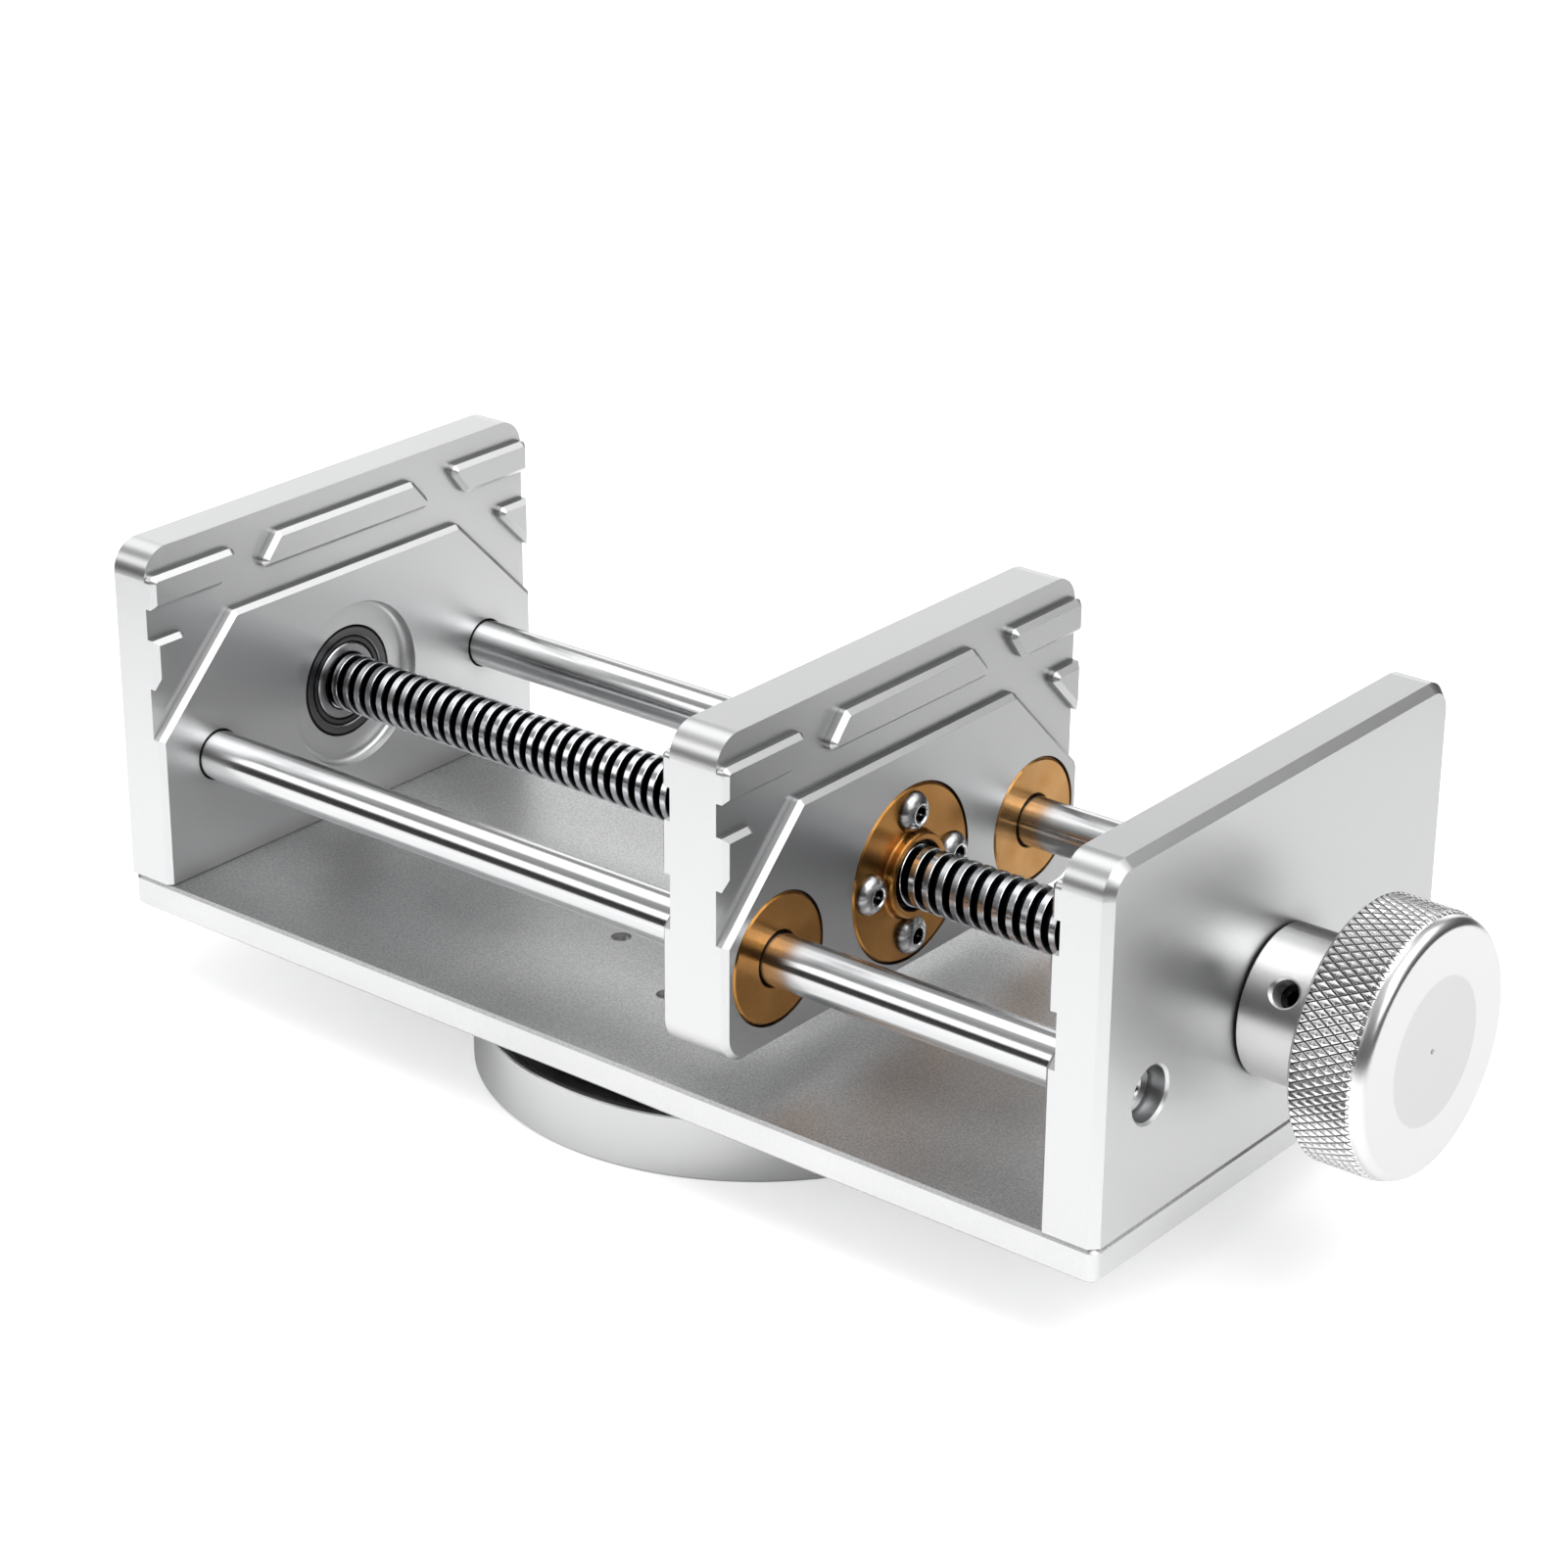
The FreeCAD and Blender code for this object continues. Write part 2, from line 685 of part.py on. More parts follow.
def bearing(outer_diameter, bore_diameter, x0):
    # Outer ring, inner ring, balls and shields of a deep-groove ball bearing
    x1 = x0 + bearing_width
    middle = (x0 + x1) / 2
    track = (outer_diameter + bore_diameter) / 4
    outer = bearing_ring(outer_diameter, outer_diameter - 2 * outer_ring_wall, x0, x1)
    inner = bearing_ring(
        bore_diameter + 2 * inner_ring_wall, bore_diameter + 2 * press_gap, x0, x1)
    centre = vec(middle, 0, screw_z)
    groove = Part.makeTorus(track, ball_diameter / 2 + press_gap, centre, X)
    balls = []
    for across, up in ring_places(ball_count, 2 * track):
        balls.append(Part.makeSphere(ball_diameter / 2, vec(middle, across, screw_z + up)))
    shields = []
    shield_outer = outer_diameter - 2 * outer_ring_wall - 2 * press_gap
    shield_inner = bore_diameter + 2 * inner_ring_wall + 2 * hole_gap
    for start in (x0 + shield_setback, x1 - shield_setback - shield_thickness):
        disc = cylinder_x(shield_outer, start, start + shield_thickness, 0, screw_z)
        shields.append(disc.cut(cylinder_x(shield_inner, start - 1, start + 1, 0, screw_z)))
    return outer.cut(groove), inner.cut(groove), Part.makeCompound(balls), Part.makeCompound(shields)


def lead_screw():
    # Lead screw, full size from the rear bearing to the end plate, with a thinner front journal
    crest = screw_diameter / 2
    journal = front_journal_diameter / 2
    end = hub_start + knob_bore_depth - thread_end_gap
    return turned_x([
        (rear_bearing_back, 0), (rear_bearing_back, crest - rod_chamfer),
        (rear_bearing_back + rod_chamfer, crest), (end_face, crest), (end_face, journal),
        (end - rod_chamfer, journal), (end, journal - rod_chamfer), (end, 0)], 0, screw_z)


def thrust_spacer():
    # Sleeve that carries the knob's thrust to the front bearing
    outer = cylinder_x(thrust_spacer_diameter, front_bearing_back, hub_start, 0, screw_z)
    return outer.cut(cylinder_x(
        front_journal_diameter + 2 * press_gap, front_bearing_back - 1, hub_start + 1, 0, screw_z))


def radial_from_screw(distance):
    # Point at this distance from the screw axis, on the line of the knob's set screw
    angle = math.radians(set_screw_angle)
    return vec(
        half_length + set_screw_place, distance * math.cos(angle),
        screw_z + distance * math.sin(angle))


def knob():
    # Knob turned in one piece, with a dished front, a bored hub and a set screw hole
    hub = knob_hub_diameter / 2
    head = knob_head_diameter / 2
    bore = front_journal_diameter / 2 + press_gap
    floor = knob_front - knob_dish_depth
    profile = [
        (hub_start, bore), (hub_start, hub - knob_hub_chamfer),
        (hub_start + knob_hub_chamfer, hub), (knob_head_start, hub),
        (knob_head_start, head - knob_rear_bevel), (knob_head_start + knob_rear_bevel, head),
        (knob_front, head), (knob_front, 0),
        (hub_start + knob_bore_depth, 0), (hub_start + knob_bore_depth, bore)]
    body = turned_x(profile, 0, screw_z)
    body = body.makeFillet(knob_front_fillet, round_edges(body, knob_head_diameter, knob_front))
    dish_radius = ((knob_dish_diameter / 2) ** 2 + knob_dish_depth ** 2) / (2 * knob_dish_depth)
    dish = Part.makeSphere(dish_radius, vec(floor + dish_radius, 0, screw_z))
    mark = Part.makeCone(
        0, 2 * knob_centre_mark, 2 * knob_centre_mark,
        vec(floor - knob_centre_mark, 0, screw_z), X)
    outward = radial_from_screw(1) - radial_from_screw(0)
    radius = set_screw_diameter / 2 + press_gap
    hole = Part.makeCylinder(radius, hub + 1, radial_from_screw(0), outward)
    mouth = Part.makeCone(
        radius, radius + 2 * set_screw_mouth, 2 * set_screw_mouth,
        radial_from_screw(hub - 2 * set_screw_mouth), outward)
    return body.cut([dish, mark, hole, mouth])


def knob_set_screw():
    # Headless set screw that grips the front journal inside the knob's hub
    outward = radial_from_screw(1) - radial_from_screw(0)
    foot = front_journal_diameter / 2 + running_gap
    screw = Part.makeCylinder(
        set_screw_diameter / 2, set_screw_length, radial_from_screw(foot), outward)
    top = radial_from_screw(foot + set_screw_length)
    return screw.cut(socket(
        set_screw_hexagon, set_screw_length / 2, top, radial_from_screw(0) - radial_from_screw(1)))


def all_pieces():
    rear = bearing(rear_bearing_outer, screw_diameter, rear_bearing_back)
    front = bearing(front_bearing_outer, front_journal_diameter, end_face)
    ring_top = well_floor + thrust_ring_thickness
    ring_outer = 2 * (turntable_radius - thrust_ring_setback)
    ring_inner = ring_outer - 2 * thrust_ring_width
    washer_bottom = pivot_well_height - pivot_washer_thickness
    washer_bore = pivot_hub_diameter + 2 * flange_gap
    pieces = {
        "swivel_base": swivel_base(),
        "turntable_thrust_ring": washer(ring_inner, ring_outer, well_floor, ring_top),
        "pivot_thrust_washer": washer(
            washer_bore, pivot_washer_diameter, washer_bottom, pivot_well_height),
        "pivot_hub": pivot_hub(),
        "pivot_screw": countersunk_screw(pivot_screw, pivot_flange_bottom, 0, 0),
        "turntable": turntable(),
        "turntable_screws": turntable_screws(),
        "base_plate": base_plate(),
        "fixed_jaw": fixed_jaw(),
        "fixed_jaw_screws": plate_screws("fixed"),
        "end_plate": end_plate(),
        "end_plate_screws": plate_screws("end"),
        "guide_rod_front": guide_rod(-1),
        "guide_rod_rear": guide_rod(1),
        "rod_screws_fixed_jaw": rod_screws(fixed_face, -1),
        "rod_screws_end_plate": rod_screws(end_face, 1),
        "rear_bearing_outer_ring": rear[0],
        "rear_bearing_inner_ring": rear[1],
        "rear_bearing_balls": rear[2],
        "rear_bearing_shields": rear[3],
        "front_bearing_outer_ring": front[0],
        "front_bearing_inner_ring": front[1],
        "front_bearing_balls": front[2],
        "front_bearing_shields": front[3],
        "moving_jaw": moving_jaw(),
        "lead_nut": lead_nut(),
        "nut_screws": nut_screws(),
        "bush_front": bush(-1),
        "bush_rear": bush(1),
        "lead_screw": lead_screw(),
        "thrust_spacer": thrust_spacer(),
        "knob": knob(),
        "knob_set_screw": knob_set_screw()}
    return pieces


os.makedirs("parts", exist_ok=True)
for name, shape in all_pieces().items():
    shape.exportStep("parts/" + name + ".step")
    print(name, len(shape.Solids), shape.isValid(), round(shape.Volume, 1))
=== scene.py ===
import math

import bmesh
import bpy
from mathutils import Matrix, Vector


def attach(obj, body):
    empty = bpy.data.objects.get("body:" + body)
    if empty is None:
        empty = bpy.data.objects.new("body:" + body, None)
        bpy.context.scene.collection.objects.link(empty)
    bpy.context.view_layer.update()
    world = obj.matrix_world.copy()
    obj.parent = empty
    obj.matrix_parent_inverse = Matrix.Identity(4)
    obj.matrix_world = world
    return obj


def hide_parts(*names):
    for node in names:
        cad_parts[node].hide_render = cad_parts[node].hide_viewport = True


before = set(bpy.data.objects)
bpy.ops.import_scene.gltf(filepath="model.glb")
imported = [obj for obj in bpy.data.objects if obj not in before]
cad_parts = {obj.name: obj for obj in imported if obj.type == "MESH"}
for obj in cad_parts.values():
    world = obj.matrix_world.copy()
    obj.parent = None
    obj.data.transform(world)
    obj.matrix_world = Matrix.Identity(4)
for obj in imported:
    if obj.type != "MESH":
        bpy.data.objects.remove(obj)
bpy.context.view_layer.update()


# The three upright plates. Each is milled from thick aluminium plate, bead-blasted to an even
# satin and clear anodised, with fine broken edges. They are screwed to the base plate from below.

plate_dark = (0.68, 0.685, 0.69)
plate_light = (0.74, 0.742, 0.745)
plate_corner_shade_reach = 0.008
plate_corner_shade_tones = ((0.30, 0.55), (0.52, 0.60), (0.74, 1.0))
fixed_jaw_knob_side_shade = 0.90
moving_jaw_knob_side_shade = 0.72
end_plate_knob_side_shade = 0.96
broken_edge = 0.00008
pit_scale = 2600.0
pit_strength = 0.10
pit_depth = 0.00004
pit_share = 0.35
drift_scale = 22.0
rod_axis_y = 0.0392
rod_axis_z = 0.0456
rod_shadow_line_radius = 0.0053
line_width = 0.0001
edge_samples = 4
shade_samples = 6
across_x = (0.0, 1.0, 1.0)
across_z = (1.0, 1.0, 0.0)


def new_material(name):
    # Material with only a Principled shader and its output
    material = bpy.data.materials.new(name)
    material.use_nodes = True
    nodes = material.node_tree.nodes
    return material, nodes, material.node_tree.links, nodes["Principled BSDF"]


def new_group(name, inputs, outputs):
    # Node group with inputs given as (name, socket type, value) and outputs as (name, socket type)
    tree = bpy.data.node_groups.new(name, "ShaderNodeTree")
    for label, kind, value in inputs:
        socket = tree.interface.new_socket(name=label, in_out="INPUT", socket_type=kind)
        socket.default_value = value
    for label, kind in outputs:
        tree.interface.new_socket(name=label, in_out="OUTPUT", socket_type=kind)
    entry = tree.nodes.new("NodeGroupInput")
    return tree, tree.nodes, tree.links, entry.outputs, tree.nodes.new("NodeGroupOutput").inputs


def use_group(nodes, tree, **values):
    node = nodes.new("ShaderNodeGroup")
    node.node_tree = tree
    for label, value in values.items():
        node.inputs[label].default_value = value
    return node


def own_place(nodes):
    # Place of the surface in the frame at rest, which moves with the piece
    return nodes.new("ShaderNodeTexCoord").outputs["Object"]


def colour_ramp(nodes, links, value, stops):
    ramp = nodes.new("ShaderNodeValToRGB")
    elements = ramp.color_ramp.elements
    while len(elements) < len(stops):
        elements.new(0.5)
    for element, (place, colour) in zip(elements, stops):
        element.position = place
        element.color = (*colour, 1.0)
    links.new(value, ramp.inputs["Fac"])
    return ramp.outputs["Color"]


def greys(stops, cool=1.0):
    # Stops of brightness as stops of colour, with a little more blue where cool is over 1
    return [(place, (tone, tone, tone * cool)) for place, tone in stops]


def value_range(nodes, links, value, span, result):
    # Carries a span of values over to the result's span, and holds it at both ends
    node = nodes.new("ShaderNodeMapRange")
    for label, limit in zip(("From Min", "From Max", "To Min", "To Max"), (*span, *result)):
        node.inputs[label].default_value = limit
    links.new(value, node.inputs["Value"])
    return node.outputs[0]


def noise(nodes, links, vector, scale, detail):
    texture = nodes.new("ShaderNodeTexNoise")
    texture.inputs["Scale"].default_value = scale
    texture.inputs["Detail"].default_value = detail
    links.new(vector, texture.inputs["Vector"])
    return texture.outputs["Fac"]


def colour_by(nodes, links, shader, mask, stops):
    links.new(colour_ramp(nodes, links, mask, stops), shader.inputs["Base Color"])


def rough_by(nodes, links, shader, mask, smooth, rough):
    # Roughness over the middle values of a noise
    links.new(
        value_range(nodes, links, mask, (0.3, 0.7), (smooth, rough)), shader.inputs["Roughness"])


def shade_by(nodes, links, shader, tone):
    # Darkens the colour that already feeds the shader
    colour = shader.inputs["Base Color"].links[0].from_socket
    shade = nodes.new("ShaderNodeMix")
    shade.data_type = "RGBA"
    shade.blend_type = "MULTIPLY"
    shade.inputs[0].default_value = 1.0
    links.new(colour, shade.inputs[6])
    links.new(tone, shade.inputs[7])
    links.new(shade.outputs[2], shader.inputs["Base Color"])


def dress(node, material):
    # Gives a carried-over piece one material
    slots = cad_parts[node].data.materials
    slots.clear()
    slots.append(material)


def bevel_and_bump(nodes, links, radius, strength, depth, height):
    # Fine relief over edges that are broken by the radius
    edge = nodes.new("ShaderNodeBevel")
    edge.samples = edge_samples
    links.new(radius, edge.inputs["Radius"])
    bump = nodes.new("ShaderNodeBump")
    bump.inputs["Distance"].default_value = depth
    links.new(strength, bump.inputs["Strength"])
    links.new(height, bump.inputs["Height"])
    links.new(edge.outputs[0], bump.inputs["Normal"])
    return bump.outputs[0]


def blast_group():
    # Fine pits of bead blasting over slow drifts of tone, with softened edges
    tree, nodes, links, given, out = new_group("blast_finish", (
        ("Edge", "NodeSocketFloat", broken_edge), ("Pits", "NodeSocketFloat", pit_strength)), (
        ("Tone", "NodeSocketFloat"), ("Gloss", "NodeSocketFloat"), ("Normal", "NodeSocketVector")))
    place = own_place(nodes)
    pits = noise(nodes, links, place, pit_scale, detail=3.0)
    drift = noise(nodes, links, place, drift_scale, detail=4.0)
    mix = nodes.new("ShaderNodeMath")
    mix.operation = "MULTIPLY_ADD"
    links.new(pits, mix.inputs[0])
    mix.inputs[1].default_value = pit_share
    links.new(drift, mix.inputs[2])
    links.new(value_range(nodes, links, mix.outputs[0], (0.4, 1.0), (0.0, 1.0)), out["Tone"])
    links.new(value_range(nodes, links, drift, (0.3, 0.7), (0.0, 1.0)), out["Gloss"])
    links.new(
        bevel_and_bump(nodes, links, given["Edge"], given["Pits"], pit_depth, pits), out["Normal"])
    return tree


def blasted_aluminium(name, dark, light, smooth, rough):
    material, nodes, links, shader = new_material(name)
    finish = use_group(nodes, blast_finish)
    colour_by(nodes, links, shader, finish.outputs["Tone"], ((0.0, dark), (1.0, light)))
    links.new(
        value_range(nodes, links, finish.outputs["Gloss"], (0.0, 1.0), (smooth, rough)),
        shader.inputs["Roughness"])
    links.new(finish.outputs["Normal"], shader.inputs["Normal"])
    shader.inputs["Metallic"].default_value = 1.0
    return material, nodes, links, shader


def openness_group(name, alone):
    # How open the surface is within the reach, to its own piece alone or to all pieces
    tree, nodes, links, given, out = new_group(
        name, (("Reach", "NodeSocketFloat", 0.002),), (("Open", "NodeSocketFloat"),))
    around = nodes.new("ShaderNodeAmbientOcclusion")
    around.samples = shade_samples
    around.only_local = alone
    links.new(given["Reach"], around.inputs["Distance"])
    links.new(nodes.new("ShaderNodeNewGeometry").outputs["True Normal"], around.inputs["Normal"])
    links.new(around.outputs["AO"], out["Open"])
    return tree


def axis_distance_group():
    # Distance of the surface from an axis through the centre, across which Across is 1
    tree, nodes, links, given, out = new_group("axis_distance", (
        ("Place", "NodeSocketVector", (0.0, 0.0, 0.0)),
        ("Centre", "NodeSocketVector", (0.0, 0.0, 0.0)),
        ("Across", "NodeSocketVector", across_x)), (("Distance", "NodeSocketFloat"),))
    away = nodes.new("ShaderNodeVectorMath")
    away.operation = "SUBTRACT"
    links.new(given["Place"], away.inputs[0])
    links.new(given["Centre"], away.inputs[1])
    flat = nodes.new("ShaderNodeVectorMath")
    flat.operation = "MULTIPLY"
    links.new(away.outputs[0], flat.inputs[0])
    links.new(given["Across"], flat.inputs[1])
    length = nodes.new("ShaderNodeVectorMath")
    length.operation = "LENGTH"
    links.new(flat.outputs[0], length.inputs[0])
    links.new(length.outputs["Value"], out["Distance"])
    return tree


def recess_shade(nodes, links, shader, group, reach, tones):
    # Painted shade in sockets, holes and corners, as tones of openness
    recess = use_group(nodes, group, Reach=reach)
    shade_by(nodes, links, shader, colour_ramp(
        nodes, links, recess.outputs["Open"], greys(tones)))


def from_axis(nodes, links, place, centre, across=across_x):
    node = use_group(nodes, axis_distance, Centre=centre, Across=across)
    links.new(place, node.inputs["Place"])
    return node.outputs["Distance"]


def mirrored(nodes, links, place):
    # The same place on the positive side of every plane, for pieces in mirrored pairs
    fold = nodes.new("ShaderNodeVectorMath")
    fold.operation = "ABSOLUTE"
    links.new(place, fold.inputs[0])
    return fold.outputs[0]


def plate_material(name, knob_side_shade):
    # The faces towards the knob are painted a little darker, as painted shade
    material, nodes, links, shader = blasted_aluminium(
        name, plate_dark, plate_light, smooth=0.33, rough=0.38)
    # Painted shade in holes, corners and where the plate meets the other pieces, by its openness to
    # all of them
    recess_shade(nodes, links, shader, open_to_all, plate_corner_shade_reach, plate_corner_shade_tones)
    split = nodes.new("ShaderNodeSeparateXYZ")
    links.new(nodes.new("ShaderNodeTexCoord").outputs["Normal"], split.inputs[0])
    shade_by(nodes, links, shader, value_range(
        nodes, links, split.outputs["X"], (0.93, 0.99), (1.0, knob_side_shade)))
    return material, nodes, links, shader


def rod_shadow_lines(nodes, links, shader):
    # Painted shadow line round each rod where it enters the plate, in the running gap
    distance = from_axis(
        nodes, links, mirrored(nodes, links, own_place(nodes)), (0.0, rod_axis_y, rod_axis_z))
    shade_by(nodes, links, shader, value_range(
        nodes, links, distance, (rod_shadow_line_radius, rod_shadow_line_radius + line_width), (0.03, 1.0)))


blast_finish = blast_group()
open_to_all = openness_group("open_to_all", False)
axis_distance = axis_distance_group()
fixed_jaw_metal, *fixed_jaw_parts = plate_material("fixed_jaw_aluminium", fixed_jaw_knob_side_shade)
rod_shadow_lines(*fixed_jaw_parts)
dress("fixed_jaw", fixed_jaw_metal)
dress("moving_jaw", plate_material("moving_jaw_aluminium", moving_jaw_knob_side_shade)[0])
dress("end_plate", plate_material("end_plate_aluminium", end_plate_knob_side_shade)[0])


# The base plate. Aluminium plate with the same blasting, but its broad top is darker and slightly
# mottled, where the blasting lay uneven over a sawn and faced surface.

base_dark = (0.66, 0.664, 0.67)
base_light = (0.82, 0.822, 0.825)
mottle_scale = 2300.0
mottle_tones = ((0.35, 0.74), (0.65, 1.0))


def mottled_top(nodes, links, shader):
    # Mottled where the surface faces up, and even along the edges
    split = nodes.new("ShaderNodeSeparateXYZ")
    links.new(nodes.new("ShaderNodeNewGeometry").outputs["True Normal"], split.inputs[0])
    mottle = noise(nodes, links, own_place(nodes), mottle_scale, detail=1.0)
    upward = nodes.new("ShaderNodeMix")
    upward.data_type = "RGBA"
    upward.inputs[6].default_value = (1.0, 1.0, 1.0, 1.0)
    links.new(split.outputs["Z"], upward.inputs[0])
    links.new(colour_ramp(nodes, links, mottle, greys(mottle_tones)), upward.inputs[7])
    shade_by(nodes, links, shader, upward.outputs[2])


base_metal, *base_parts = blasted_aluminium(
    "base_aluminium", base_dark, base_light, smooth=0.36, rough=0.43)
mottled_top(*base_parts)
dress("base_plate", base_metal)


# The swivel base, a turned aluminium foot, satin, with a rounded inner lip and open below.

foot_dark = (0.62, 0.625, 0.63)
foot_light = (0.70, 0.702, 0.705)


def turned_shine(nodes, links, shader, axis, amount):
    # Fine tool marks round the axis, which draw the highlights out along or away from it
    around = nodes.new("ShaderNodeTangent")
    around.direction_type = "RADIAL"
    around.axis = axis
    links.new(around.outputs[0], shader.inputs["Tangent"])
    shader.inputs["Anisotropic"].default_value = amount
    shader.inputs["Anisotropic Rotation"].default_value = 0.25


foot_metal, *foot_parts = blasted_aluminium(
    "foot_aluminium", foot_dark, foot_light, smooth=0.24, rough=0.28)
turned_shine(*foot_parts, "Z", amount=0.9)
dress("swivel_base", foot_metal)


# The turntable, a disc screwed under the base plate, and the slide ring that it turns on in the
# well of the foot, both near black as painted shade in the well under the base plate.

black_grain_scale = 1800.0


def bump_by(nodes, links, shader, height, strength, depth):
    bump = nodes.new("ShaderNodeBump")
    bump.inputs["Strength"].default_value = strength
    bump.inputs["Distance"].default_value = depth
    links.new(height, bump.inputs["Height"])
    links.new(bump.outputs[0], shader.inputs["Normal"])


def shade_black(name, low, high, rough):
    material, nodes, links, shader = new_material(name)
    grain = noise(nodes, links, own_place(nodes), black_grain_scale, detail=2.0)
    colour_by(nodes, links, shader, grain, (
        (0.35, (low, low, low)), (0.65, (high, high, high * 1.05))))
    bump_by(nodes, links, shader, grain, strength=0.15, depth=0.00005)
    shader.inputs["Roughness"].default_value = rough
    return material


dress("turntable", shade_black("painted_shade_black", low=0.012, high=0.02, rough=0.5))
dress("turntable_thrust_ring", shade_black(
    "painted_shade_slide_ring", low=0.015, high=0.022, rough=0.6))


# The two guide rods, ground steel with hard chrome. Grinding leaves faint rings and the jaw's
# travel leaves faint lines along them.

rod_dark = (0.64, 0.645, 0.65)
rod_light = (0.74, 0.742, 0.745)
travel_lines = (6.0, 900.0, 900.0)
ground_rings = (2400.0, 20.0, 20.0)


def drawn_noise(nodes, links, place, scale, detail):
    # Noise drawn out along the axis whose scale is the smallest
    stretch = nodes.new("ShaderNodeMapping")
    stretch.inputs["Scale"].default_value = scale
    links.new(place, stretch.inputs["Vector"])
    return noise(nodes, links, stretch.outputs[0], 1.0, detail)


def rod_material():
    material, nodes, links, shader = new_material("ground_chrome")
    turned_shine(nodes, links, shader, "X", amount=0.9)
    place = own_place(nodes)
    lines = drawn_noise(nodes, links, place, travel_lines, detail=3.0)
    rings = drawn_noise(nodes, links, place, ground_rings, detail=2.0)
    colour_by(nodes, links, shader, lines, ((0.3, rod_dark), (0.7, rod_light)))
    rough_by(nodes, links, shader, rings, smooth=0.17, rough=0.20)
    bump_by(nodes, links, shader, rings, strength=0.04, depth=0.00002)
    shader.inputs["Metallic"].default_value = 1.0
    return material


rod_chrome = rod_material()
for rod in ("guide_rod_front", "guide_rod_rear"):
    dress(rod, rod_chrome)


# The lead screw, a steel bar with a coarse trapezoidal thread, eight turns to the inch, right hand.
# Its roots and flanks are painted black, as painted shade in the grooves, and its crests
# run bright in the nut. Plain journals at both ends sit in the bearings.

screw_axis_z = 0.0485
screw_axis = (0.0, 0.0, screw_axis_z)
thread_pitch = 0.003175
thread_start = -0.10945
thread_end = 0.10435
thread_phase = 0.00048
thread_steps = 64
bar_radius = 0.006
front_radius = 0.005
rear_end = -0.11545
front_shoulder = 0.10585
front_end = 0.12915
bar_chamfer = 0.0006

# One turn of the thread, from one crest up to the flank of the next: millimetres along the bar,
# then out from its axis
thread_section = (
    (-0.60, 6.00), (0.60, 6.00), (0.70, 5.92), (1.06, 4.78), (1.13, 4.70), (2.045, 4.70),
    (2.115, 4.78), (2.475, 5.92))

# Painted shade, black, below the first radius, and bright above the second
shaded_root_and_crest = (0.0053, 0.0059)
screw_root_shade_tones = (
    (0.0, (0.008, 0.008, 0.009)), (0.6, (0.05, 0.05, 0.052)), (1.0, (0.62, 0.63, 0.65)))


def round_screw_axis(x, radius, angle):
    return x, radius * math.cos(angle), screw_axis_z + radius * math.sin(angle)


def turned_rings(mesh, rings, segments):
    # Adds a lathe-turned surface through (x, radius) rings about the screw axis
    rows = []
    for x, radius in rings:
        rows.append([
            mesh.verts.new(round_screw_axis(x, radius, 2 * math.pi * index / segments))
            for index in range(segments)])
    for row, following in zip(rows, rows[1:]):
        for index in range(segments):
            after = (index + 1) % segments
            mesh.faces.new((row[index], row[after], following[after], following[index]))


def finish_mesh(mesh, name, sharp_degrees):
    # Turns mesh work into an object, with edges sharper than the limit left crisp
    mesh.normal_update()
    for face in mesh.faces:
        face.smooth = True
    limit = math.radians(sharp_degrees)
    for edge in mesh.edges:
        if len(edge.link_faces) == 2 and edge.calc_face_angle(0.0) > limit:
            edge.smooth = False
    data = bpy.data.meshes.new(name)
    mesh.to_mesh(data)
    mesh.free()
    piece = bpy.data.objects.new(name, data)
    bpy.context.scene.collection.objects.link(piece)
    return piece


def threaded_bar():
    # Helical strip, one row of points for each step of angle, clipped flat at both ends
    turns = math.ceil((thread_end - thread_start) / thread_pitch) + 2
    mesh = bmesh.new()
    columns = []
    for index in range(thread_steps * turns + 1):
        angle = 2 * math.pi * index / thread_steps
        start = thread_start + thread_phase + thread_pitch * (index / thread_steps - 2)
        column = []
        for along, radius in thread_section:
            x = min(max(start + along / 1000, thread_start), thread_end)
            column.append(mesh.verts.new(round_screw_axis(x, radius / 1000, angle)))
        columns.append(column)
    for index in range(thread_steps * (turns - 1)):
        here = columns[index] + [columns[index + thread_steps][0]]
        after = columns[index + 1] + [columns[index + thread_steps + 1][0]]
        for low in range(len(thread_section)):
            mesh.faces.new((here[low], after[low], after[low + 1], here[low + 1]))
    turned_rings(mesh, (
        (rear_end, 0.0), (rear_end, bar_radius - bar_chamfer),
        (rear_end + bar_chamfer, bar_radius), (thread_start, bar_radius),
        (thread_start, 0.0)), thread_steps)
    turned_rings(mesh, (
        (thread_end, 0.0), (thread_end, bar_radius), (front_shoulder, bar_radius),
        (front_shoulder, front_radius), (front_end - bar_chamfer, front_radius),
        (front_end, front_radius - bar_chamfer), (front_end, 0.0)), thread_steps)
    bmesh.ops.dissolve_degenerate(mesh, dist=1e-7, edges=mesh.edges)
    return finish_mesh(mesh, "lead_screw_threaded", sharp_degrees=30)


def screw_material():
    material, nodes, links, shader = new_material("threaded_steel")
    place = own_place(nodes)
    distance = from_axis(nodes, links, place, screw_axis)
    colour_by(nodes, links, shader, value_range(
        nodes, links, distance, shaded_root_and_crest, (0.0, 1.0)), screw_root_shade_tones)
    scuffs = noise(nodes, links, place, scale=900.0, detail=3.0)
    rough_by(nodes, links, shader, scuffs, smooth=0.16, rough=0.28)
    bump_by(nodes, links, shader, scuffs, strength=0.08, depth=0.00003)
    shader.inputs["Metallic"].default_value = 1.0
    return material


lead_screw = threaded_bar()
lead_screw.data.materials.append(screw_material())
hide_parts("lead_screw")
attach(lead_screw, "screw")


# The bronze nut and the two bronze bushes, turned and lightly browned, with flanges let flush into
# the moving jaw, and the bronze washer of the swivel. Facing them in the lathe leaves fine rings
# about each bore.

brown_bronze = (0.40, 0.185, 0.046)
golden_bronze = (0.50, 0.245, 0.070)
lit_bronze = (0.60, 0.34, 0.135)
nut_shaded_mouth = 0.0070
bush_shaded_mouth = 0.0054
no_shaded_mouth = 0.0
bronze_ring_scale = 5200.0
soft_relief = 0.00001


